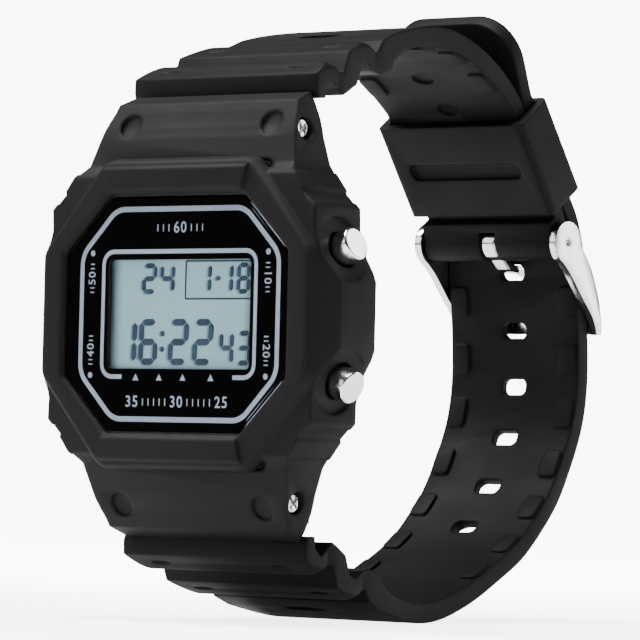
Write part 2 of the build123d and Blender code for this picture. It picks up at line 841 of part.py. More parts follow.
def strap_plan():
    """Plan outline that narrows the strap away from the case."""
    stations = (
        (pivot_y - overrun * 3, strap_case_half_width),
        (pivot_y, strap_case_half_width),
        (pivot_y + ridge_reach * 0.95, strap_ridge_half_width),
        (loop_reach * 0.4, strap_mid_half_width),
        (loop_reach * 0.62, strap_half_width),
        (loop_reach * 1.2, strap_half_width),
    )
    right = [(half, y) for y, half in stations]
    left = [(-half, y) for y, half in reversed(stations)]
    return extrude(make_face(Polyline(*right, *left, close=True)), amount=loop_rise * 2, both=True)


def ridge_blocks():
    """Blocks that round off the ends of the ridges, one for each ridge and one for the band."""
    zone_shares = (
        (-0.50, 0.235, 0.673, 0, 1.00), (0.235, 0.720, 0.936, 0, 0.94),
        (0.720, 1.200, 0, 0.99, 0.86), (1.200, 4.500, 0, 1.30, 1.00),
    )
    blocks = None
    for low_share, high_share, ridge_share, loop_share, wide_share in zone_shares:
        ridge_top = pivot_z + ridge_share * ridge_rise
        top = loop_rise * loop_share if loop_share else ridge_top
        face = RectangleRounded(strap_case_half_width * wide_share * 2, top * 2, ridge_corner)
        block = prism_y(face, pivot_y + low_share * ridge_reach, pivot_y + high_share * ridge_reach)
        blocks = block if blocks is None else blocks + block
    return blocks


def strap_tongue():
    """Narrow end of the upper strap, rolled round the lug's bar."""
    tongue = prism_x(tongue_points(), tongue_half_width)
    return tongue + rod_x(pivot_y, pivot_z, knuckle_radius, -tongue_half_width, tongue_half_width)


def bar_bore(y, z, radius):
    """Bore for a spring bar across the whole strap."""
    return rod_x(y, z, radius, -body_half_width, body_half_width)


def inner_path():
    """Inner surface of the upper strap in Y and Z, from the keeper to the ridges."""
    start = clasp_point(-straight_half, inner_low)
    return Spline(start, *reversed(loop_points(top_inner_shares)), ridge_points(ridge_inner_shares)[0])


def edge_pads(path, places):
    """Low pads along both edges of a strap's inner face, at places of share and depth on the path."""
    pad = extrude(RectangleRounded(pad_width, pad_length, pad_corner), amount=pad_rise, both=True)
    centre_x = strap_half_width - pad_inset - pad_width / 2
    pads = None
    for share, depth in places:
        for x in (-centre_x, centre_x):
            one = strap_cut(path, share, depth, pad, x)
            pads = one if pads is None else pads + one
    return pads


def inner_dimples(path):
    """Oval dimples along the middle of the upper strap's inner face."""
    face = Ellipse(dimple_size * 1.5, dimple_size)
    dimple_cut = extrude(face, amount=inner_dimple_depth, both=True)
    place_shares = (0.02, 0.235)
    return strap_cut(path, place_shares[0], 0, dimple_cut) + strap_cut(path, place_shares[1], 0, dimple_cut)


def ridge_dimples():
    """Pairs of shallow oval dimples on the upper strap's ridges, and a long one where its band begins."""
    place_shares = ((0.04, 0.615, 0.66), (0.49, 0.885, 0.64))
    band_y_share, band_z_share = 1.005, 1.068
    dimples = None
    for y_share, z_share, x_share in place_shares:
        y, z = pivot_y + y_share * ridge_reach, pivot_z + z_share * ridge_rise
        spot = (x_share * strap_case_half_width, y, z)
        cut = Pos(*spot) * scale(Sphere(dimple_size), by=(1.6, 0.5, 0.5))
        dimples = cut if dimples is None else dimples + cut
    band_place = Pos(0, pivot_y + band_y_share * ridge_reach, pivot_z + band_z_share * ridge_rise)
    return both_sides(dimples) + band_place * scale(Sphere(dimple_size), by=(3.2, 0.9, 0.5))


def make_strap_12():
    """Strap half at 12 o'clock, which carries the buckle."""
    ridge_out = ridge_points(ridge_outer_shares)
    ridge_in = ridge_points(ridge_inner_shares)
    top = clasp_point(-straight_half, inner_high)
    foot, foot_in = clasp_point(straight_half, inner_high), clasp_point(straight_half, inner_low)
    outer = Spline(ridge_out[-1], *loop_points(top_outer_shares), top)
    inner = inner_path()
    face = make_face([
        Polyline(*ridge_out), outer, Polyline(top, foot), Polyline(foot, foot_in),
        Polyline(foot_in, inner @ 0), inner, Polyline(*ridge_in, ridge_out[0]),
    ])
    band = extrude(Plane.YZ * face, amount=strap_case_half_width, both=True)
    band += make_strap_end(foot)
    band = band & strap_plan() & ridge_blocks()
    pad_shares = (0.20, 0.43, 0.66)
    band += edge_pads(inner, [(share, 0) for share in pad_shares])
    band += strap_tongue()
    band -= bar_bore(pivot_y, pivot_z, bar_radius + running_gap)
    band -= bar_bore(buckle_y, buckle_z, buckle_bar_radius + press_gap)
    return band - prong_slot() - ridge_dimples() - inner_dimples(inner)


def make_strap_end(foot):
    """Thick end of the strap, from a shoulder below the keeper to the bar's knuckle."""
    side = (out[0] * strap_end_radius, out[1] * strap_end_radius)
    end = prism_x([foot, (buckle_y + side[0], buckle_z + side[1]), (buckle_y - side[0], buckle_z - side[1]),
                   clasp_point(straight_half, strap_end_shoulder)], strap_case_half_width)
    return end + rod_x(buckle_y, buckle_z, strap_end_radius, -strap_case_half_width, strap_case_half_width)


def prong_slot():
    """Slot in the strap's end that leaves room for the prong's ring."""
    low_down = buckle_down - prong_ring_radius - seat_gap * 4
    return clasp_block(low_down, buckle_down + boss_radius * 2, -boss_radius * 2, keeper_depth,
                       prong_width / 2 + seat_gap * 2)


def outer_path():
    """Outer surface of the long strap in Y and Z, from the ridges to the keeper."""
    start = flipped(ridge_points(ridge_outer_shares))[-1]
    low = clasp_point(straight_half, outer_high)
    return Spline(start, *loop_points(bottom_outer_shares), low)


def path_place(path, share, depth):
    """Point at a depth below the outer surface, and the outward direction there."""
    point = path @ share
    tangent = path % share
    outward = Vector(tangent.Y, -tangent.X)
    return point - outward * depth, outward


def hole_shares(path):
    """Places of the strap's holes along the outer surface, the engaged one second."""
    return [1 - (engaged_hole_reach + step * hole_pitch) / path.length for step in range(-1, hole_count - 1)]


def strap_cut(path, share, depth, cut, x=0):
    """A cut shape carried to a depth below the outer surface, its Z axis outwards."""
    point, outward = path_place(path, share, depth)
    plane = Plane(origin=(x, point.X, point.Y), x_dir=(1, 0, 0), z_dir=(0, outward.X, outward.Y))
    return plane * cut


def rounded_opening(margin, depth):
    """Rounded opening, wider across the strap, with a margin round the hole's outline."""
    corner = hole_half_length * hole_corner_share + margin
    face = RectangleRounded((hole_half_width + margin) * 2, (hole_half_length + margin) * 2, corner)
    return extrude(face, amount=depth, both=True)


def strap_holes(path):
    """All through holes, each in a shallow pocket of the outer face."""
    hole = rounded_opening(0, strap_hole_thick * 2)
    cuts = None
    for share in hole_shares(path):
        pocket = rounded_opening(pocket_margin, strap_thick_at(path, share) * pocket_share)
        cut = strap_cut(path, share, 0, hole + pocket)
        cuts = cut if cuts is None else cuts + cut
    return cuts


def strap_thick_at(path, share):
    """Thickness of the long strap, which thins towards the clasp."""
    return strap_hole_thick + (strap_end_thick - strap_hole_thick) * share


def pad_places(path):
    """Places of the long strap's pads, half way between its holes and on for two more steps."""
    shares = hole_shares(path)[1:]
    step = shares[0] - shares[1]
    centres = [share - step / 2 for share in shares + [shares[-1] - step]]
    return [(share, strap_thick_at(path, share)) for share in centres]


def strap_tip_face():
    """Side outline of the straight stretch and the tip, which leans outwards."""
    low = clasp_point(straight_half, outer_low)
    bend = clasp_point(-straight_half, outer_low)
    tip_top = clasp_point(-straight_half - tip_reach, outer_low + tip_lift)
    tip_out = clasp_point(-straight_half - tip_reach, outer_high + tip_lift)
    bend_out = clasp_point(-straight_half, outer_high)
    return [low, bend, tip_top, tip_out, bend_out, clasp_point(straight_half, outer_high)]


def tip_plan():
    """Rounded outline of the strap's tip seen across the clasp."""
    end = -straight_half - tip_reach
    plane = Plane(origin=(0, *clasp_point(end, outer_low)), x_dir=(1, 0, 0), z_dir=(0, *out))
    face = RectangleRounded(strap_half_width * 2, tip_reach * 4, tip_corner)
    centre_shift = Pos(0, tip_reach * 2, 0)
    body = plane * centre_shift * extrude(face, amount=loop_rise, both=True)
    return body


def make_strap_6():
    """Strap half at 6 o'clock, with the holes and the loose tip."""
    path = outer_path()
    ridge_out = flipped(ridge_points(ridge_outer_shares))
    ridge_in = flipped(ridge_points(ridge_inner_shares))
    step_count = 22
    inner_points = []
    for step in range(2, step_count):
        share = step / step_count
        point, outward = path_place(path, share, strap_thick_at(path, share))
        inner_points.append((point.X, point.Y))
    low_in = clasp_point(straight_half, outer_low)
    inner = Spline(low_in, *reversed(inner_points), ridge_in[0])
    face = make_face([
        Polyline(*ridge_out), path, Polyline(path @ 1, low_in), inner, Polyline(*ridge_in, ridge_out[0]),
    ])
    band = extrude(Plane.YZ * face, amount=strap_case_half_width, both=True)
    tip = prism_x(strap_tip_face(), strap_half_width) & tip_plan()
    band = (band & strap_plan() & ridge_blocks()) + tip + edge_pads(path, pad_places(path))
    band += mirror(strap_tongue(), about=Plane.XY)
    band -= bar_bore(pivot_y, -pivot_z, bar_radius + running_gap)
    return band - strap_holes(path) - mirror(ridge_dimples(), about=Plane.XY)


# Keeper loop

def make_keeper():
    half = keeper_length / 2
    body = clasp_block(-half, half, 0, keeper_depth, keeper_half_width)
    corners = body.edges().filter_by(lambda edge: abs(edge.length - keeper_length) < seat_gap)
    body = fillet(corners, keeper_outer_wall)
    bore = clasp_block(-half - overrun, half + overrun, keeper_inner_wall,
                       keeper_depth - keeper_outer_wall, keeper_half_width - keeper_side_wall)
    slot_half_width = keeper_half_width - keeper_slot_inset
    slot_face = RectangleRounded(slot_half_width * 2, keeper_slot_half_length * 2, keeper_slot_corner)
    face_plane = Plane(origin=(0, *clasp_point(0, 0)), x_dir=(1, 0, 0), z_dir=(0, *out))
    slot = face_plane * extrude(slot_face, amount=keeper_inner_wall * keeper_slot_share, both=True)
    return body - bore - slot


# Buckle frame, bar and prong

def buckle_points(shares):
    """Points in Y and Z as shares of the end bar's offset from the pivot."""
    return [(buckle_y + y * end_bar_back, buckle_z - z * end_bar_drop) for y, z in shares]


arm_inner_x = strap_half_width + arm_gap
arm_outer_x = arm_inner_x + arm_thick


def make_buckle_frame():
    outer_shares = (
        (0.260, -0.160), (0.425, 0.040), (0.670, 0.244), (0.839, 0.452), (0.967, 0.661),
        (1.035, 0.842), (1.068, 0.970),
    )
    inner_shares = (
        (0.885, 1.000), (0.785, 0.878), (0.541, 0.703), (0.298, 0.528), (0.056, 0.354),
        (-0.182, 0.223), (-0.340, 0.125),
    )
    tip_shares = ((1.060, 1.085), (0.940, 1.090))
    bar_shares = ((0.965, 0.830), (1.000, 0.950), (1.000, 1.080))
    outer, inner = buckle_points(outer_shares), buckle_points(inner_shares)
    face = make_face([
        Spline(*outer), Polyline(outer[-1], *buckle_points(tip_shares), inner[0]),
        Spline(*inner), Polyline(inner[-1], outer[0]),
    ])
    arm = extrude(Plane.YZ * face, amount=arm_thick / 2, both=True)
    arm = Pos(arm_inner_x + arm_thick / 2, 0, 0) * arm
    arm += rod_x(buckle_y, buckle_z, boss_radius, arm_inner_x, arm_outer_x)
    tip_way = bar_tip_radius + running_gap
    arm -= rod_x(buckle_y, buckle_z, tip_way, arm_inner_x - overrun, arm_outer_x + overrun)
    end_bar_face = Plane.YZ * trace(Polyline(*buckle_points(bar_shares)), end_bar_thick)
    return both_sides(arm) + extrude(end_bar_face, amount=arm_outer_x, both=True)


def make_buckle_prong():
    """Ring round the bar and a bent tongue that passes the hole and overhangs the end bar."""
    centre_shares = (
        (0.015, 0.140), (0.240, 0.275), (0.480, 0.300), (0.780, 0.300), (1.040, 0.360),
        (1.230, 0.540), (1.235, 1.100),
    )
    line = Polyline(*buckle_points(centre_shares))
    tongue = extrude(Plane.YZ * trace(line, prong_thick), amount=prong_width / 2, both=True)
    ring = rod_x(buckle_y, buckle_z, prong_ring_radius, -prong_width / 2, prong_width / 2)
    bore = rod_x(buckle_y, buckle_z, buckle_bar_radius + running_gap, -prong_width, prong_width)
    return tongue + ring - bore


pieces = {
    "case_middle": make_case_middle,
    "bezel": make_bezel,
    "bezel_screws": make_bezel_screws,
    "crystal": make_crystal,
    "crystal_gasket": make_crystal_gasket,
    "dial_mask": make_dial_mask,
    "lcd_panel": make_lcd_panel,
    "backlight": make_backlight,
    "zebra_strips": make_zebra_strips,
    "module_frame": make_module_frame,
    "circuit_board": make_circuit_board,
    "chip": make_chip,
    "battery": make_battery,
    "battery_clip": make_battery_clip,
    "contact_springs": make_contact_springs,
    "piezo_disc": make_piezo_disc,
    "buzzer_spring": make_buzzer_spring,
    "module_cushion": make_module_cushion,
    "case_back": make_case_back,
    "case_back_gasket": back_gasket_ring,
    "case_back_screws": make_back_screws,
    "pusher_seals": make_pusher_seals,
    "strap_12": make_strap_12,
    "strap_6": make_strap_6,
    "keeper": make_keeper,
    "buckle_frame": make_buckle_frame,
    "buckle_prong": make_buckle_prong,
}

os.makedirs("parts", exist_ok=True)
for name, make in pieces.items():
    export_step(make(), f"parts/{name}.step")

bar_half = tongue_half_width + seat_gap
export_step(spring_bar(pivot_y, pivot_z, bar_half, bar_tip_length), "parts/spring_bar_12.step")
export_step(spring_bar(pivot_y, -pivot_z, bar_half, bar_tip_length), "parts/spring_bar_6.step")
buckle_tip_length = arm_gap + arm_thick * buckle_tip_share
export_step(spring_bar(buckle_y, buckle_z, strap_half_width, buckle_tip_length), "parts/buckle_bar.step")

for name in pusher_places:
    export_step(make_pusher(name), f"parts/pusher_{name}.step")
    export_step(make_pusher_clip(name), f"parts/clip_{name}.step")
    export_step(make_pusher_spring(name), f"parts/spring_{name}.step")
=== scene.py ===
import math

import bmesh
import bpy
from mathutils import Matrix, Vector


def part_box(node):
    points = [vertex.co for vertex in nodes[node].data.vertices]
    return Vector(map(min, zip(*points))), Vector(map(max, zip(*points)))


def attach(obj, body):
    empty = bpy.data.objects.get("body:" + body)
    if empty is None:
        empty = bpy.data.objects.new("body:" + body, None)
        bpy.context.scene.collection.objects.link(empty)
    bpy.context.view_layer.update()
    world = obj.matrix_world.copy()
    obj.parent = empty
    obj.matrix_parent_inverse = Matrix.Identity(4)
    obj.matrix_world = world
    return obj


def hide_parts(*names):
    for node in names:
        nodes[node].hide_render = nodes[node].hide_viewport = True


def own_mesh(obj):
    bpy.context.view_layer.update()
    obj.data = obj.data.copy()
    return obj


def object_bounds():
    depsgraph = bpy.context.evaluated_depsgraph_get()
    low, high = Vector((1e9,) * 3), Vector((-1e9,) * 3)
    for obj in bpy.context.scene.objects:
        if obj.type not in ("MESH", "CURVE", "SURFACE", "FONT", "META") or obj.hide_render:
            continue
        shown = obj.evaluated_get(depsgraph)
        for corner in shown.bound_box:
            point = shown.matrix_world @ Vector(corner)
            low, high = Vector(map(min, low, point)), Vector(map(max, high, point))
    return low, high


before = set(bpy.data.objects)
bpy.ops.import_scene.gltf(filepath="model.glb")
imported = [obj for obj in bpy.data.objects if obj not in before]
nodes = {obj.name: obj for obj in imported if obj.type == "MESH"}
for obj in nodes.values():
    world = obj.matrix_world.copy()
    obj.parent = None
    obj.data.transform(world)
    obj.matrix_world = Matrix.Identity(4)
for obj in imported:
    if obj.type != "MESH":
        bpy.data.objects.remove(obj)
cad_box = [[float(c) for c in corner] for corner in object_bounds()]
mm = 0.001


# Studio: one pale sheet that lies flat under the watch and sweeps up behind it, overexposed
# to white away from the watch and glowing dimmer round it as a painted shadow, with soft
# lamps above, in front and behind at the side.
def node_material(name):
    """A new material, its node tree and its Principled shader."""
    material = bpy.data.materials.new(name)
    material.use_nodes = True
    tree = material.node_tree
    return material, tree, tree.nodes["Principled BSDF"]


def noise(tree, cells, detail=2):
    """A noise node, given its cells to the metre and its detail."""
    made = tree.nodes.new("ShaderNodeTexNoise")
    made.inputs["Scale"].default_value = cells
    made.inputs["Detail"].default_value = detail
    return made


def tone_ramp(tree, dark, light, ends=(0, 1), curve="LINEAR"):
    """A ramp node between two colours, with the shares where it starts and ends."""
    ramp = tree.nodes.new("ShaderNodeValToRGB")
    ramp.color_ramp.interpolation = curve
    for element, colour, end in zip(ramp.color_ramp.elements, (dark, light), ends):
        element.position = end
        element.color = (*colour, 1)
    return ramp


def spread(tree, low, high, from_low=0, from_high=1):
    """A node that brings a value into the range from low to high."""
    ranged = tree.nodes.new("ShaderNodeMapRange")
    ranged.inputs["From Min"].default_value = from_low
    ranged.inputs["From Max"].default_value = from_high
    ranged.inputs["To Min"].default_value = low
    ranged.inputs["To Max"].default_value = high
    return ranged


def colour_mix(tree, way="MIX", share=0.5):
    """A node that mixes colour B into colour A."""
    mixed = tree.nodes.new("ShaderNodeMix")
    mixed.data_type = "RGBA"
    mixed.blend_type = way
    mixed.inputs["Factor"].default_value = share
    return mixed


def mesh_piece(name, mesh, smooth_to=None):
    """Turns a bmesh into an object in the scene, smooth up to an angle in degrees."""
    data = bpy.data.meshes.new(name)
    mesh.to_mesh(data)
    mesh.free()
    piece = bpy.data.objects.new(name, data)
    bpy.context.scene.collection.objects.link(piece)
    if smooth_to:
        data.polygons.foreach_set("use_smooth", [True] * len(data.polygons))
        data.set_sharp_from_angle(angle=math.radians(smooth_to))
    return piece


fibre_cells, paper_dark, paper_light, paper_rough = 300, (0.84, 0.84, 0.845), (0.88, 0.88, 0.885), 0.9
# The sheet's glow is dimmer near the watch, a painted shadow under it, and full white far off.
glow_in_painted_shadow, glow_far, glow_ends = (0.45, 0.45, 0.45), (1, 1, 1), (20 * mm, 250 * mm)
glow_strength, glow_in_reflections = 9.0, 0.07


def paper_material():
    """White paper with faint fibres, burnt out to white in the picture away from the watch, with painted
    shadow round it.
    """
    material, tree, shader = node_material("backdrop_paper")
    link = tree.links.new
    place = tree.nodes.new("ShaderNodeTexCoord")
    fibres = noise(tree, fibre_cells)
    tone = tone_ramp(tree, paper_dark, paper_light)
    link(place.outputs["Object"], fibres.inputs["Vector"])
    link(fibres.outputs["Fac"], tone.inputs["Fac"])
    link(tone.outputs["Color"], shader.inputs["Base Color"])
    far = tree.nodes.new("ShaderNodeVectorMath")
    far.operation = "LENGTH"
    # Painted shadow: the glow eases from a dim grey round the watch up to white further away.
    glow_and_painted_shadow = tone_ramp(tree, glow_in_painted_shadow, glow_far, glow_ends, "EASE")
    seen = tree.nodes.new("ShaderNodeLightPath")
    share = spread(tree, glow_in_reflections, 1)
    dimmed = colour_mix(tree, "MULTIPLY", share=1)
    link(place.outputs["Object"], far.inputs[0])
    link(far.outputs["Value"], glow_and_painted_shadow.inputs["Fac"])
    link(seen.outputs["Is Camera Ray"], share.inputs["Value"])
    link(glow_and_painted_shadow.outputs["Color"], dimmed.inputs["A"])
    link(share.outputs["Result"], dimmed.inputs["B"])
    link(dimmed.outputs["Result"], shader.inputs["Emission Color"])
    shader.inputs["Emission Strength"].default_value = glow_strength
    shader.inputs["Roughness"].default_value = paper_rough
    return material


camera_place = Vector((362.328, -436.567, -16.912)) * mm
camera_forward = Vector((-0.626683, 0.778704, 0.029793))
camera_right = Vector((0.779274, 0.626218, 0.024145))
focal_length, sensor_width, near_clip = 278.884, 36, 50 * mm
quarter_turn = math.pi / 2
sheet_half, flat_behind, sweep_radius = 2.2, 1.3, 0.5
sheet_rows, sheet_columns, sheet_back = 96, 8, 20 * mm
sheet_top = cad_box[0][2] - 0.05 * mm

sheet = bmesh.new()
bmesh.ops.create_grid(sheet, x_segments=sheet_columns, y_segments=sheet_rows, size=sheet_half)
for vert in sheet.verts:
    over = vert.co.y - flat_behind
    if over > 0:
        bend = min(over / sweep_radius, quarter_turn)
        rise = over - sweep_radius * quarter_turn
        vert.co.y = flat_behind + sweep_radius * math.sin(bend)
        vert.co.z = sweep_radius * (1 - math.cos(bend)) + max(rise, 0)
facing = math.atan2(camera_forward.y, camera_forward.x) - quarter_turn
bmesh.ops.rotate(sheet, matrix=Matrix.Rotation(facing, 3, "Z"), verts=sheet.verts)
bmesh.ops.translate(sheet, vec=(0, sheet_back, sheet_top), verts=sheet.verts)
floor = mesh_piece("studio_sheet", sheet, smooth_to=30)
floor.data.materials.append(paper_material())

for lamp_name, place, aim, size, power in (
    ("lamp_top", (-0.06, -0.10, 0.70), (0, 0.01, 0), (0.50, 0.40), 13.0),
    ("lamp_high_left", (-0.42, -0.18, 0.52), (0, 0, 0), (0.26, 0.26), 4.0),
    ("lamp_front_left", (-0.50, -0.55, 0.28), (0, 0, 0), (0.40, 0.40), 1.2),
    ("lamp_right", (0.46, 0.66, 0.24), (0, 0.02, 0), (0.34, 0.56), 2.4),
):
    light = bpy.data.lights.new(lamp_name, "AREA")
    light.shape = "RECTANGLE"
    light.size, light.size_y = size
    light.energy = power
    lamp = bpy.data.objects.new(lamp_name, light)
    lamp.location = Vector(place)
    lamp.rotation_euler = (Vector(aim) - Vector(place)).to_track_quat("-Z", "Y").to_euler()
    bpy.context.scene.collection.objects.link(lamp)

air_colour, air_strength = (1, 1, 1, 1), 0.08
world = bpy.data.worlds.new("studio_air")
world.use_nodes = True
world.node_tree.nodes["Background"].inputs["Color"].default_value = air_colour
world.node_tree.nodes["Background"].inputs["Strength"].default_value = air_strength
bpy.context.scene.world = world

lens = bpy.data.cameras.new("catalogue_camera")
lens.sensor_width = sensor_width
lens.lens = focal_length
lens.clip_start = near_clip
camera = bpy.data.objects.new("catalogue_camera", lens)
upward = camera_right.cross(camera_forward)
turn = Matrix((camera_right, upward, -camera_forward)).transposed().to_4x4()
camera.matrix_world = Matrix.Translation(camera_place) @ turn
bpy.context.scene.collection.objects.link(camera)
bpy.context.scene.camera = camera


# Case middle: the black resin tub that carries the module, the lugs and the pusher holes,
# moulded in one shot with a fine satin grain.
def surface_group(name, cloud, grain, rough, streak=None):
    """Shader group of a finish, whose colour, roughness and height change over the surface.

    Cloud and grain each give a noise's cells to the metre and its detail. Roughness goes with
    the cloud and height with the grain. On resin the colour goes with the cloud too. On metal it
    goes with the grain, which the streak draws out along one way.
    """
    group = bpy.data.node_groups.new(name, "ShaderNodeTree")
    for socket, way, kind in (
        ("Dark", "INPUT", "Color"), ("Light", "INPUT", "Color"),
        ("Colour", "OUTPUT", "Color"), ("Roughness", "OUTPUT", "Float"), ("Height", "OUTPUT", "Float"),
    ):
        group.interface.new_socket(name=socket, in_out=way, socket_type="NodeSocket" + kind)
    link = group.links.new
    inside = group.nodes.new("NodeGroupInput")
    outside = group.nodes.new("NodeGroupOutput")
    place = group.nodes.new("ShaderNodeTexCoord")
    clouds, grains = noise(group, *cloud), noise(group, *grain)
    grain_place = place.outputs["Object"]
    if streak:
        drawn = group.nodes.new("ShaderNodeMapping")
        drawn.inputs["Scale"].default_value = streak
        link(grain_place, drawn.inputs["Vector"])
        grain_place = drawn.outputs["Vector"]
    link(place.outputs["Object"], clouds.inputs["Vector"])
    link(grain_place, grains.inputs["Vector"])
    blend = colour_mix(group)
    link((grains if streak else clouds).outputs["Fac"], blend.inputs["Factor"])
    link(inside.outputs["Dark"], blend.inputs["A"])
    link(inside.outputs["Light"], blend.inputs["B"])
    roughness = spread(group, *rough, from_low=0.3, from_high=0.7)
    link(clouds.outputs["Fac"], roughness.inputs["Value"])
    link(blend.outputs["Result"], outside.inputs["Colour"])
    link(roughness.outputs["Result"], outside.inputs["Roughness"])
    link(grains.outputs["Fac"], outside.inputs["Height"])
    return group


bump_strength, edge_samples, wear_and_highlight_blue = 0.6, 6, 1.02


def grained_material(name, group, dark, light, bump_height, metallic=0.0, edge_wear_and_highlight=0.0, gloss=0.5,
                     edge_round=0.0):
    """Material of a finish group, with paler edges of wear and painted highlight, and softened edges where
    given.
    """
    material, tree, shader = node_material(name)
    link = tree.links.new
    skin = tree.nodes.new("ShaderNodeGroup")
    skin.node_tree = group
    skin.inputs["Dark"].default_value = (*dark, 1)
    skin.inputs["Light"].default_value = (*light, 1)
    bump = tree.nodes.new("ShaderNodeBump")
    bump.inputs["Distance"].default_value = bump_height
    bump.inputs["Strength"].default_value = bump_strength
    if edge_round:
        softened = tree.nodes.new("ShaderNodeBevel")
        softened.samples = edge_samples
        softened.inputs["Radius"].default_value = edge_round
        link(softened.outputs["Normal"], bump.inputs["Normal"])
    colour = skin.outputs["Colour"]
    # Paler edges: partly rubbed wear, partly a painted highlight standing in for the edges' sheen.
    if edge_wear_and_highlight:
        edge = tree.nodes.new("ShaderNodeAttribute")
        edge.attribute_name = "worn_and_highlit_edge"
        wear_and_highlight_mask = tree.nodes.new("ShaderNodeMath")
        wear_and_highlight_mask.operation = "MULTIPLY"
        wear_and_highlight = colour_mix(tree)
        wear_and_highlight.inputs["B"].default_value = (edge_wear_and_highlight, edge_wear_and_highlight, edge_wear_and_highlight * wear_and_highlight_blue, 1)
        link(edge.outputs["Fac"], wear_and_highlight_mask.inputs[0])
        link(skin.outputs["Height"], wear_and_highlight_mask.inputs[1])
        link(wear_and_highlight_mask.outputs["Value"], wear_and_highlight.inputs["Factor"])
        link(colour, wear_and_highlight.inputs["A"])
        colour = wear_and_highlight.outputs["Result"]
    link(colour, shader.inputs["Base Color"])
    link(skin.outputs["Roughness"], shader.inputs["Roughness"])
    link(skin.outputs["Height"], bump.inputs["Height"])
    link(bump.outputs["Normal"], shader.inputs["Normal"])
    shader.inputs["Metallic"].default_value = metallic
    shader.inputs["Specular IOR Level"].default_value = gloss
    return material


def finish_node(name, material):
    """Gives a CAD node that stays in view its finish."""
    data = nodes[name].data
    data.materials.clear()
    data.materials.append(material)


satin_grain = surface_group("satin_grain", cloud=(130, 5), grain=(4800, 3), rough=(0.50, 0.62))
case_resin = grained_material(
    "case_resin", satin_grain, (0.004, 0.004, 0.0042), (0.007, 0.007, 0.0073), 0.01 * mm, gloss=0.08)
finish_node("case_middle", case_resin)


# Bezel: a softer resin shell pressed over the case and held by four screws in the flanks
# of its lug covers; its moulded edges are soft and slightly paler, partly where they rub and
# partly as a painted highlight.
weld_gap, flat_angle, smooth_angle = 0.002 * mm, 0.6, 35


def merged_copy(name):
    """The node's mesh as a bmesh with its triangles joined and flat faces dissolved."""
    mesh = bmesh.new()
    mesh.from_mesh(nodes[name].data)
    bmesh.ops.remove_doubles(mesh, verts=mesh.verts, dist=weld_gap)
    bmesh.ops.dissolve_limit(mesh, angle_limit=math.radians(flat_angle), verts=mesh.verts, edges=mesh.edges)
    return mesh


def ease_edges(mesh, width, sharp, segments):
    """Rounds edges sharper than an angle and marks the new faces for paler wear and painted highlight."""
    crisp = [e for e in mesh.edges if len(e.link_faces) == 2 and e.calc_face_angle(0) > math.radians(sharp)]
    # The mark makes the rounded edges paler: wear and a painted highlight.
    wear_and_highlight = mesh.faces.layers.float.new("worn_and_highlit_edge")
    made = bmesh.ops.bevel(mesh, geom=crisp, offset=width, offset_type="OFFSET", affect="EDGES",
                           segments=segments, profile=0.5, material=-1, clamp_overlap=True, loop_slide=True)
    for face in made["faces"]:
        face[wear_and_highlight] = 1.0


def stands_for(piece, body, slot, *names):
    """Puts a finished piece in the place of CAD nodes, on their body."""
    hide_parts(*names)
    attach(piece, body)


def eased_piece(name, body, slot, material, width, sharp=30, segments=3):
    """The node's own form with eased edges, in the node's place."""
    mesh = merged_copy(name)
    ease_edges(mesh, width, sharp, segments)
    piece = mesh_piece(name + "_skin", mesh, smooth_angle)
    piece.data.materials.append(material)
    stands_for(piece, body, slot, name)


bezel_resin = grained_material(
    "bezel_resin", satin_grain, (0.0055, 0.0055, 0.0058), (0.0085, 0.0085, 0.0088), 0.012 * mm,
    edge_wear_and_highlight=0.022, gloss=0.09, edge_round=0.6 * mm)
eased_piece("bezel", "head", "bezel_resin", bezel_resin, width=0.35 * mm)


# Bezel screws: four pan-head screws of bright plated steel with a cross recess, driven
# sideways through the bezel's lug covers into the case.
plated_metal = surface_group(
    "plated_metal", cloud=(210, 4), grain=(900, 4), rough=(0.10, 0.20), streak=(1, 1, 1))
screw_steel = grained_material(
    "screw_steel", plated_metal, (0.55, 0.55, 0.55), (0.72, 0.72, 0.71), 0.002 * mm, metallic=1.0)
eased_piece("bezel_screws", "head", "screw_steel", screw_steel, width=0.07 * mm, sharp=40, segments=2)


# Crystal: a flat octagonal plate of mineral glass with a ground bevel round its front edge,
# bedded in a thin black gasket.
polish_cells, polish_rough, glass_index = 260, 0.035, 1.45
glass_dark, glass_light = (0.93, 0.95, 0.95), (0.96, 0.98, 0.98)


def glass_material():
    """Clear glass with a barely uneven polish."""
    material, tree, shader = node_material("crystal_glass")
    link = tree.links.new
    place = tree.nodes.new("ShaderNodeTexCoord")
    polish = noise(tree, polish_cells)
    clear = spread(tree, 0, polish_rough)
    tint = tone_ramp(tree, glass_dark, glass_light)
    link(place.outputs["Object"], polish.inputs["Vector"])
    link(polish.outputs["Fac"], clear.inputs["Value"])
    link(clear.outputs["Result"], shader.inputs["Roughness"])
    link(polish.outputs["Fac"], tint.inputs["Fac"])
    link(tint.outputs["Color"], shader.inputs["Base Color"])
    shader.inputs["Transmission Weight"].default_value = 1.0
    shader.inputs["IOR"].default_value = glass_index
    return material


finish_node("crystal", glass_material())
matt_rubber = surface_group("matt_rubber", cloud=(400, 5), grain=(6000, 3), rough=(0.55, 0.70))
gasket_rubber = grained_material(
    "gasket_rubber", matt_rubber, (0.006, 0.006, 0.006), (0.010, 0.010, 0.010), 0.01 * mm)
finish_node("crystal_gasket", gasket_rubber)


# Dial mask: a thin plate behind the glass, printed gloss black with pale blue lines, and
# plain minute numbers, pusher dots and indicator arrows printed in the same ink.
ink_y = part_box("dial_mask")[0][1] - 0.03 * mm
cap_share, letter_gap, stroke_growth, curve_steps, corner_steps = 0.69, 1.15, 0.018, 3, 5


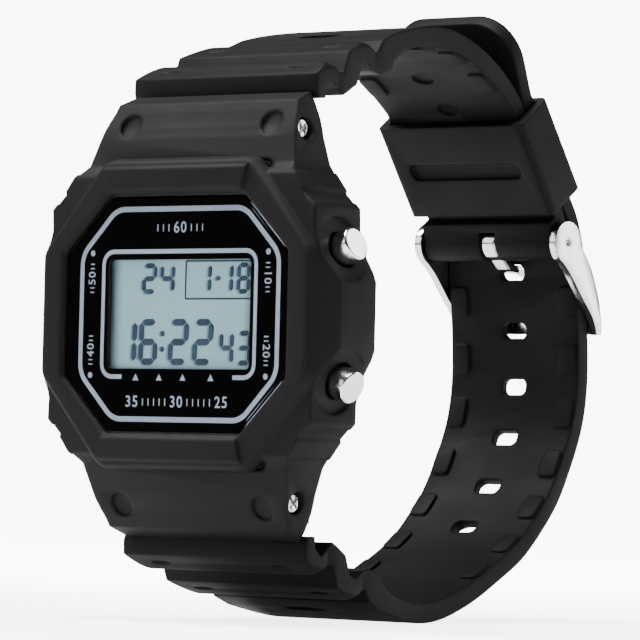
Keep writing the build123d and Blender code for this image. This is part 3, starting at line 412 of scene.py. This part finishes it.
def upright_place(centre, depth, turn=0.0):
    """Where a flat shape drawn in X and Y stands upright at a depth, facing forwards."""
    stand = Matrix.Rotation(quarter_turn, 4, "X") @ Matrix.Rotation(turn, 4, "Z")
    return Matrix.Translation((centre[0], depth, centre[1])) @ stand


def stand_up(mesh, verts, centre, depth):
    bmesh.ops.transform(mesh, matrix=upright_place(centre, depth), verts=verts)


def printed_bar(mesh, centre, size, depth):
    """One bar, given by its centre and size in X and Z."""
    made = bmesh.ops.create_grid(mesh, x_segments=1, y_segments=1, size=0.5)["verts"]
    bmesh.ops.scale(mesh, vec=(*size, 1), verts=made)
    stand_up(mesh, made, centre, depth)


def printed_spot(mesh, centre, radius, depth, corners):
    """One dot, or with three corners one triangle."""
    made = bmesh.ops.create_circle(mesh, cap_ends=True, radius=radius, segments=corners)["verts"]
    stand_up(mesh, made, centre, depth)


def printed_number(mesh, words, height, centre, turn=0.0):
    """A number in a plain upright face, centred on its place."""
    curve = bpy.data.curves.new("dial_number", "FONT")
    curve.body = words
    curve.size = height / cap_share
    curve.align_x = "CENTER"
    curve.align_y = "CENTER"
    curve.space_character = letter_gap
    curve.offset = height * stroke_growth
    curve.resolution_u = curve_steps
    holder = bpy.data.objects.new("dial_number", curve)
    bpy.context.scene.collection.objects.link(holder)
    bpy.context.view_layer.update()
    drawn = bpy.data.meshes.new_from_object(holder)
    drawn.transform(upright_place(centre, ink_y, turn))
    mesh.from_mesh(drawn)
    bpy.data.objects.remove(holder)


def rounded_line(name, corners, radius, width, gap=None):
    """A closed ink line round an outline with rounded corners, open along the bottom over a gap."""
    mesh = bmesh.new()
    made = [mesh.verts.new((x, z, 0)) for x, z in corners]
    mesh.faces.new(made)
    bmesh.ops.bevel(mesh, geom=made, offset=radius, affect="VERTICES", segments=corner_steps, profile=0.5,
                    material=-1)
    mesh.normal_update()
    inside = mesh.faces[:]
    bmesh.ops.inset_individual(mesh, faces=inside, thickness=width, use_even_offset=True)
    bmesh.ops.delete(mesh, geom=inside, context="FACES_ONLY")
    if gap:
        for side in gap:
            parts = mesh.verts[:] + mesh.edges[:] + mesh.faces[:]
            bmesh.ops.bisect_plane(mesh, geom=parts, plane_co=(side, 0, 0), plane_no=(1, 0, 0))
        low = min(vert.co.y for vert in mesh.verts)
        middles = {face: face.calc_center_median() for face in mesh.faces}
        opened = [face for face, middle in middles.items()
                  if gap[0] < middle.x < gap[1] and middle.y < low + width * 2]
        bmesh.ops.delete(mesh, geom=opened, context="FACES")
    stand_up(mesh, mesh.verts[:], (0, 0), ink_y)
    return mesh_piece(name, mesh)


def plate_with_print(name, node, slot, printed, *materials):
    """A CAD plate and the shapes printed in front of it, as one piece in the node's place."""
    plate = merged_copy(node)
    drawn = bpy.data.meshes.new(name + "_print")
    printed.to_mesh(drawn)
    printed.free()
    plate.from_mesh(drawn)
    piece = mesh_piece(name, plate, smooth_angle)
    for material in materials:
        piece.data.materials.append(material)
    stands_for(piece, "head", slot, node)


outer_w, outer_h, outer_top, outer_side = 14.8 * mm, 12.2 * mm, 9.6 * mm, 6.9 * mm
outer_right = [(outer_top, outer_h), (outer_w, outer_side), (outer_w, -outer_side), (outer_top, -outer_h)]
outer_corners = outer_right + [(-x, z) for x, z in reversed(outer_right)]
outer_line = rounded_line("outer_line", outer_corners, radius=1.2 * mm, width=0.6 * mm)
inner_w, inner_h, inner_gap = 11.5 * mm, 7.35 * mm, 8.2 * mm
inner_corners = [(inner_w, inner_h), (inner_w, -inner_h), (-inner_w, -inner_h), (-inner_w, inner_h)]
inner_line = rounded_line("inner_line", inner_corners, radius=1.7 * mm, width=0.5 * mm,
                          gap=(-inner_gap, inner_gap))
ink = bmesh.new()
for line in (outer_line, inner_line):
    ink.from_mesh(line.data)
    bpy.data.objects.remove(line)

side_x, side_z, dot_z, side_text = 12.95 * mm, 4.1 * mm, 6.95 * mm, 1.0 * mm
dot_radius, dot_corners, side_tick = 0.34 * mm, 20, (0.62 * mm, 0.13 * mm)
for side in (-1, 1):
    for end in (-1, 1):
        printed_spot(ink, (side * side_x, end * dot_z), dot_radius, ink_y, dot_corners)
        for tick in (-1.6, -1.1, 1.1, 1.6):
            printed_bar(ink, (side * side_x, end * side_z + tick * mm), side_tick, ink_y)
for words, side, end in (("10", 1, 1), ("20", 1, -1), ("50", -1, 1), ("40", -1, -1)):
    printed_number(ink, words, side_text, (side * side_x, end * side_z), -side * quarter_turn)

foot_z, head_z, row_text, row_tick = -9.95 * mm, 9.75 * mm, 1.25 * mm, (0.15 * mm, 0.8 * mm)
arrow_z, arrow_radius = -7.25 * mm, 0.5 * mm
for words, x in (("35", -6.6), ("30", 0), ("25", 6.6)):
    printed_number(ink, words, row_text, (x * mm, foot_z))
for x in (-4.95, -4.13, -3.3, -2.48, -1.65, 1.65, 2.48, 3.3, 4.13, 4.95):
    printed_bar(ink, (x * mm, foot_z), row_tick, ink_y)
for x in (-6.1, -2.6, 0.9, 5.0):
    printed_spot(ink, (x * mm, arrow_z), arrow_radius, ink_y, corners=3)
printed_number(ink, "60", row_text, (0, head_z))
for x in (-3.3, -2.48, -1.65, 1.65, 2.48, 3.3):
    printed_bar(ink, (x * mm, head_z), row_tick, ink_y)
for face in ink.faces:
    face.material_index = 1
    if face.normal.y > 0:
        face.normal_flip()

dial_black = grained_material(
    "dial_black", satin_grain, (0.003, 0.003, 0.004), (0.005, 0.005, 0.006), 0.002 * mm)
dial_ink = grained_material(
    "dial_ink", satin_grain, (0.46, 0.56, 0.74), (0.54, 0.63, 0.80), 0.004 * mm)
plate_with_print("printed_dial", "dial_mask", "dial_print", ink, dial_black, dial_ink)


# Display: a liquid crystal cell of two glass plates over a grey-blue reflector; the dark
# segments stand in the cell, and a paler blue copy of them, set left and down on the
# reflector, is their painted shadow.
lcd_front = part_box("lcd_panel")[0][1]
shadow_y, segment_y = lcd_front - 0.02 * mm, lcd_front - 0.05 * mm
shadow_shift, shadow_drop = -0.30, 0.3
digit_lean, upright_room, level_room = 0.03, 0.62, 1.2
# The bars of each figure: a top, b and c right, d bottom, e and f left, g middle.
digit_bars = {
    "0": "abcdef", "1": "bc", "2": "abged", "3": "abgcd", "4": "fgbc",
    "5": "afgcd", "6": "afgedc", "7": "abc", "8": "abcdefg", "9": "abcdfg", "-": "g",
}


def segment(mesh, centre, foot, length, thick, upright, depth):
    """One display segment: a bar with pointed ends, leaning with its digit from the foot."""
    made = bmesh.ops.create_circle(mesh, cap_ends=True, radius=1, segments=6)["verts"]
    for vert in made:
        pointed = abs(vert.co.y) > 0.9
        side_y = math.copysign(length / 2 - thick / 2, vert.co.y)
        vert.co.y = math.copysign(length / 2, vert.co.y) if pointed else side_y
        vert.co.x = 0 if pointed else math.copysign(thick / 2, vert.co.x)
    if not upright:
        bmesh.ops.rotate(mesh, matrix=Matrix.Rotation(quarter_turn, 3, "Z"), verts=made)
    stand_up(mesh, made, centre, depth)
    for vert in made:
        vert.co.x += (vert.co.z - foot) * digit_lean


def digit(mesh, sign, left, low, width, height, thick, depth):
    """One seven-segment figure from its lower left corner."""
    mid_x, mid_z = left + width / 2, low + height / 2
    in_x, in_z = width / 2 - thick / 2, height / 2 - thick / 2
    upright_length, level_length = height / 2 - thick * upright_room, width - thick * level_room
    places = {
        "a": (0, in_z, False), "g": (0, 0, False), "d": (0, -in_z, False),
        "b": (in_x, in_z / 2, True), "c": (in_x, -in_z / 2, True),
        "f": (-in_x, in_z / 2, True), "e": (-in_x, -in_z / 2, True),
    }
    for bar in digit_bars[sign]:
        x, z, upright = places[bar]
        length = upright_length if upright else level_length
        segment(mesh, (mid_x + x, mid_z + z), low, length, thick, upright, depth)


colon_x, colon_heights, colon_radius, colon_corners = -2.75, (-2.2, -3.95), 0.33 * mm, 12


def display_signs(mesh, depth, shift=0.0):
    """Hours, minutes, seconds, the date and the small figures at the top left."""
    # Each figure with its left side, foot, width, height and bar thickness in millimetres.
    rows = (
        ("1", -9.45, -5.72, 2.8, 5.2, 0.74), ("6", -6.35, -5.72, 2.85, 5.2, 0.74),
        ("2", -1.95, -5.72, 3.0, 5.2, 0.74), ("2", 1.65, -5.72, 3.0, 5.2, 0.74),
        ("4", 5.60, -5.72, 2.1, 3.9, 0.58), ("3", 8.15, -5.72, 2.1, 3.9, 0.58),
        ("2", -6.0, 2.3, 2.2, 3.5, 0.56), ("4", -3.35, 2.3, 2.2, 3.5, 0.56),
        ("1", 2.3, 2.3, 1.95, 3.5, 0.54), ("-", 4.45, 2.3, 1.5, 3.5, 0.54),
        ("1", 5.5, 2.3, 1.95, 3.5, 0.54), ("8", 7.95, 2.3, 1.95, 3.5, 0.54),
    )
    for sign, left, low, width, height, thick in rows:
        left, low = left + shift, low + shift * shadow_drop
        digit(mesh, sign, left * mm, low * mm, width * mm, height * mm, thick * mm, depth)
    for z in colon_heights:
        printed_spot(mesh, ((colon_x + shift) * mm, z * mm), colon_radius, depth, colon_corners)


window_half_width, window_half_height = 10.9 * mm, 7.2 * mm
# The reflector's colour in the middle, its painted shade by the window's walls, and where that shade starts
# and ends.
reflector_painted_shade, reflector_middle, shade_ends = (0.06, 0.09, 0.11), (0.50, 0.80, 0.88), (0.80, 0.99)
frost_cells, frost_share, reflector_rough = 5000, 0.12, 0.42


def reflector_material():
    """Grey-blue reflector, paler in the middle, with painted shade darkening it beside the window's walls.
    """
    material, tree, shader = node_material("lcd_reflector")
    link = tree.links.new
    place = tree.nodes.new("ShaderNodeTexCoord")
    centred = tree.nodes.new("ShaderNodeMapping")
    centred.inputs["Scale"].default_value = (1 / window_half_width, 0, 1 / window_half_height)
    far = tree.nodes.new("ShaderNodeSeparateXYZ")
    nearest = tree.nodes.new("ShaderNodeMath")
    nearest.operation = "MAXIMUM"
    link(place.outputs["Object"], centred.inputs["Vector"])
    link(centred.outputs["Vector"], far.inputs["Vector"])
    for socket, axis in enumerate("XZ"):
        reach = tree.nodes.new("ShaderNodeMath")
        reach.operation = "ABSOLUTE"
        link(far.outputs[axis], reach.inputs[0])
        link(reach.outputs["Value"], nearest.inputs[socket])
    # Painted shade: the colour darkens towards the window's walls.
    shade = tone_ramp(tree, reflector_middle, reflector_painted_shade, shade_ends, "EASE")
    frost = noise(tree, frost_cells)
    speck = colour_mix(tree, "MULTIPLY", frost_share)
    link(nearest.outputs["Value"], shade.inputs["Fac"])
    link(place.outputs["Object"], frost.inputs["Vector"])
    link(shade.outputs["Color"], speck.inputs["A"])
    link(frost.outputs["Color"], speck.inputs["B"])
    link(speck.outputs["Result"], shader.inputs["Base Color"])
    shader.inputs["Roughness"].default_value = reflector_rough
    return material


signs = bmesh.new()
# A paler copy of the segments behind them, shifted left and down: their painted shadow.
display_signs(signs, shadow_y, shadow_shift)
display_signs(signs, segment_y)
date_left, date_right, date_low, date_high, date_line = 0.5 * mm, 10.2 * mm, 1.75 * mm, 6.0 * mm, 0.20 * mm
date_mid_x, date_mid_z = (date_left + date_right) / 2, (date_low + date_high) / 2
for z in (date_low, date_high):
    printed_bar(signs, (date_mid_x, z), (date_right - date_left, date_line), segment_y)
for x in (date_left, date_right):
    printed_bar(signs, (x, date_mid_z), (date_line, date_high - date_low), segment_y)
signs.normal_update()
for face in signs.faces:
    in_front = face.calc_center_median().y < (segment_y + shadow_y) / 2
    face.material_index = 2 if in_front else 1
    if face.normal.y > 0:
        face.normal_flip()

# The colour of the segments' painted shadow on the reflector.
segment_shadow = grained_material(
    "segment_shadow", satin_grain, (0.20, 0.36, 0.52), (0.24, 0.42, 0.58), 0.001 * mm)
segment_dark = grained_material(
    "segment_dark", satin_grain, (0.020, 0.055, 0.10), (0.028, 0.07, 0.125), 0.001 * mm)
plate_with_print("display_cell", "lcd_panel", "lcd_glass", signs, reflector_material(), segment_shadow,
                 segment_dark)


# Module: the works behind the display, held in a pale moulded frame, from the backlight
# and rubber contact strips to the circuit board, cell, sounder and cushion.
moulding = surface_group("module_moulding", cloud=(180, 5), grain=(3200, 3), rough=(0.45, 0.62))
drawn_metal = surface_group(
    "drawn_metal", cloud=(210, 4), grain=(500, 4), rough=(0.26, 0.40), streak=(1, 1, 24))
layer_bands, layer_dark, layer_pale, strip_rough = 900, (0.03, 0.03, 0.03), (0.62, 0.50, 0.36), 0.6
track_cells, track_width, track_height, board_rough = 260, 0.05, 0.03 * mm, 0.32
board_greens, track_green = ((0.012, 0.085, 0.035, 1), (0.015, 0.10, 0.04, 1)), (0.05, 0.24, 0.10, 1)


def layered_material():
    """Contact strips: thin dark conductive layers in pale silicone."""
    material, tree, shader = node_material("zebra_rubber")
    link = tree.links.new
    place = tree.nodes.new("ShaderNodeTexCoord")
    layers = tree.nodes.new("ShaderNodeTexWave")
    layers.bands_direction = "X"
    layers.inputs["Scale"].default_value = layer_bands
    tone = tone_ramp(tree, layer_dark, layer_pale)
    link(place.outputs["Object"], layers.inputs["Vector"])
    link(layers.outputs["Color"], tone.inputs["Fac"])
    link(tone.outputs["Color"], shader.inputs["Base Color"])
    shader.inputs["Roughness"].default_value = strip_rough
    return material


def board_material():
    """Green laminate with paler copper tracks under its varnish."""
    material, tree, shader = node_material("board_laminate")
    link = tree.links.new
    place = tree.nodes.new("ShaderNodeTexCoord")
    turned = tree.nodes.new("ShaderNodeMapping")
    turned.inputs["Rotation"].default_value = (quarter_turn, 0, 0)
    tracks = tree.nodes.new("ShaderNodeTexBrick")
    tracks.inputs["Scale"].default_value = track_cells
    tracks.inputs["Mortar Size"].default_value = track_width
    tracks.inputs["Color1"].default_value, tracks.inputs["Color2"].default_value = board_greens
    tracks.inputs["Mortar"].default_value = track_green
    raised = tree.nodes.new("ShaderNodeBump")
    raised.inputs["Distance"].default_value = track_height
    link(place.outputs["Object"], turned.inputs["Vector"])
    link(turned.outputs["Vector"], tracks.inputs["Vector"])
    link(tracks.outputs["Color"], shader.inputs["Base Color"])
    link(tracks.outputs["Fac"], raised.inputs["Height"])
    link(raised.outputs["Normal"], shader.inputs["Normal"])
    shader.inputs["Roughness"].default_value = board_rough
    return material


finish_node("zebra_strips", layered_material())
finish_node("circuit_board", board_material())
for node, name, group, dark, light, bump_height, metallic in (
    ("backlight", "backlight_film", moulding, (0.55, 0.66, 0.60), (0.62, 0.72, 0.66), 0.010, 0.0),
    ("module_frame", "frame_plastic", moulding, (0.60, 0.60, 0.55), (0.68, 0.68, 0.63), 0.010, 0.0),
    ("chip", "chip_epoxy", matt_rubber, (0.010, 0.010, 0.011), (0.016, 0.016, 0.017), 0.020, 0.0),
    ("battery", "battery_steel", drawn_metal, (0.52, 0.52, 0.52), (0.66, 0.66, 0.65), 0.004, 1.0),
    ("battery_clip", "clip_steel", drawn_metal, (0.50, 0.50, 0.49), (0.62, 0.62, 0.60), 0.004, 1.0),
    ("module_cushion", "cushion_rubber", matt_rubber, (0.02, 0.02, 0.02), (0.03, 0.03, 0.03), 0.030, 0.0),
):
    finish_node(node, grained_material(name, group, dark, light, bump_height * mm, metallic))
contact_brass = grained_material(
    "contact_brass", drawn_metal, (0.60, 0.44, 0.17), (0.72, 0.55, 0.24), 0.003 * mm, metallic=1.0)
finish_node("contact_springs", contact_brass)
finish_node("piezo_disc", contact_brass)
spring_wire = grained_material(
    "spring_wire", plated_metal, (0.46, 0.46, 0.45), (0.60, 0.60, 0.58), 0.002 * mm, metallic=1.0)
finish_node("buzzer_spring", spring_wire)


# Case back: a stamped steel plate with a straight brushed grain, bedded on a rubber ring and
# held by four small cross-head screws.
back_grain = surface_group(
    "back_grain", cloud=(210, 4), grain=(420, 4), rough=(0.24, 0.34), streak=(1, 1, 30))
back_steel = grained_material(
    "back_steel", back_grain, (0.47, 0.47, 0.47), (0.60, 0.60, 0.59), 0.006 * mm, metallic=1.0)
eased_piece("case_back", "head", "back_steel", back_steel, width=0.06 * mm, segments=2)
ring_rubber = grained_material(
    "back_gasket_rubber", matt_rubber, (0.007, 0.007, 0.007), (0.011, 0.011, 0.011), 0.01 * mm)
finish_node("case_back_gasket", ring_rubber)
eased_piece("case_back_screws", "head", "screw_steel", screw_steel, width=0.05 * mm, sharp=40, segments=2)


# Pushers: four polished steel caps with rounded rims, each on a stem with a rubber seal, a
# retaining clip and a coil spring.
pusher_steel = grained_material(
    "pusher_steel", plated_metal, (0.84, 0.84, 0.84), (0.93, 0.93, 0.92), 0.0015 * mm, metallic=1.0)
clip_steel = grained_material(
    "pusher_clip_steel", drawn_metal, (0.42, 0.42, 0.42), (0.55, 0.55, 0.54), 0.003 * mm, metallic=1.0)
seal_rubber = grained_material(
    "seal_rubber", matt_rubber, (0.007, 0.007, 0.007), (0.011, 0.011, 0.011), 0.01 * mm)
pusher_stroke, spring_turns, steps_a_turn, wire_sides, wire_smooth = 0.8 * mm, 4, 20, 8, 40
rearward = Vector((0, 1, 0))


def pusher_spring(place_name):
    """A coil as long, wide and thick as the spring's solid, along its pusher's axis."""
    places = [vert.co for vert in nodes["spring_" + place_name].data.vertices]
    middle = sum(places, Vector()) / len(places)
    along = Vector((middle.x, 0, middle.z)).normalized()
    reaches = [place.dot(along) for place in places]
    spreads = [(place - middle - along * (place - middle).dot(along)).length for place in places]
    low, length = min(reaches), max(reaches) - min(reaches)
    wire, coil = (max(spreads) - min(spreads)) / 2, (max(spreads) + min(spreads)) / 2
    mesh = bmesh.new()
    section = Matrix.Translation((coil, 0, wire)) @ Matrix.Rotation(quarter_turn, 4, "X")
    bmesh.ops.create_circle(mesh, segments=wire_sides, radius=wire, matrix=section)
    steps = spring_turns * steps_a_turn
    bmesh.ops.spin(mesh, geom=mesh.verts[:] + mesh.edges[:], cent=(0, 0, 0), axis=(0, 0, 1), steps=steps,
                   dvec=(0, 0, (length - wire * 2) / steps), angle=math.tau * spring_turns)
    bmesh.ops.holes_fill(mesh, edges=[edge for edge in mesh.edges if edge.is_boundary], sides=wire_sides)
    bmesh.ops.recalc_face_normals(mesh, faces=mesh.faces)
    seat = along * low + rearward * middle.y
    turned = Matrix((rearward.cross(along), rearward, along)).transposed().to_4x4()
    bmesh.ops.transform(mesh, matrix=Matrix.Translation(seat) @ turned, verts=mesh.verts)
    piece = mesh_piece("spring_" + place_name + "_coil", mesh, wire_smooth)
    piece.data.materials.append(spring_wire)
    stands_for(piece, "head", "spring_steel", "spring_" + place_name)
    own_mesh(piece)


for place_name in ("light", "start", "reset", "mode"):
    pusher_name = "pusher_" + place_name
    eased_piece(pusher_name, pusher_name, "pusher_steel", pusher_steel, width=0.12 * mm)
    pusher_spring(place_name)
    finish_node("clip_" + place_name, clip_steel)
finish_node("pusher_seals", seal_rubber)


# Spring bars: drawn steel tubes with sprung tips that pin the strap between the lugs and
# the buckle on the strap's end.
bar_steel = grained_material(
    "bar_steel", drawn_metal, (0.50, 0.50, 0.50), (0.66, 0.66, 0.65), 0.003 * mm, metallic=1.0)
for bar_name in ("spring_bar_12", "spring_bar_6", "buckle_bar"):
    finish_node(bar_name, bar_steel)


# Straps: two halves of soft black resin with ridges at the case end, oval dimples, low pads
# along the inner edges and, in the long half, a row of rounded holes.
# The strap's edges are paler, partly from wear and partly as a painted highlight.
strap_resin = grained_material(
    "strap_resin", satin_grain, (0.004, 0.004, 0.0042), (0.0065, 0.0065, 0.0068), 0.012 * mm,
    edge_wear_and_highlight=0.018, gloss=0.08, edge_round=0.45 * mm)
eased_piece("strap_12", "strap_12", "strap_resin", strap_resin, width=0.25 * mm)
eased_piece("strap_6", "strap_6", "strap_resin", strap_resin, width=0.25 * mm)


# Keeper: a loop of the same resin that slides over both strap halves and holds the tip,
# with a slot sunk in its inner face.
# The keeper's edges are paler, partly from wear and partly as a painted highlight.
keeper_resin = grained_material(
    "keeper_resin", satin_grain, (0.004, 0.004, 0.0042), (0.0065, 0.0065, 0.0068), 0.012 * mm,
    edge_wear_and_highlight=0.018, gloss=0.08, edge_round=0.45 * mm)
eased_piece("keeper", "keeper", "keeper_resin", keeper_resin, width=0.35 * mm, segments=4)


# Buckle: two polished steel arms joined by a flat end bar, and a bent prong. Both turn on the
# bar through the strap's end, and the prong goes through a hole of the long half.
buckle_steel = grained_material(
    "buckle_steel", plated_metal, (0.70, 0.70, 0.70), (0.82, 0.82, 0.81), 0.002 * mm, metallic=1.0)
eased_piece("buckle_frame", "buckle_frame", "buckle_steel", buckle_steel, width=0.22 * mm)
eased_piece("buckle_prong", "buckle_prong", "buckle_steel", buckle_steel, width=0.25 * mm)
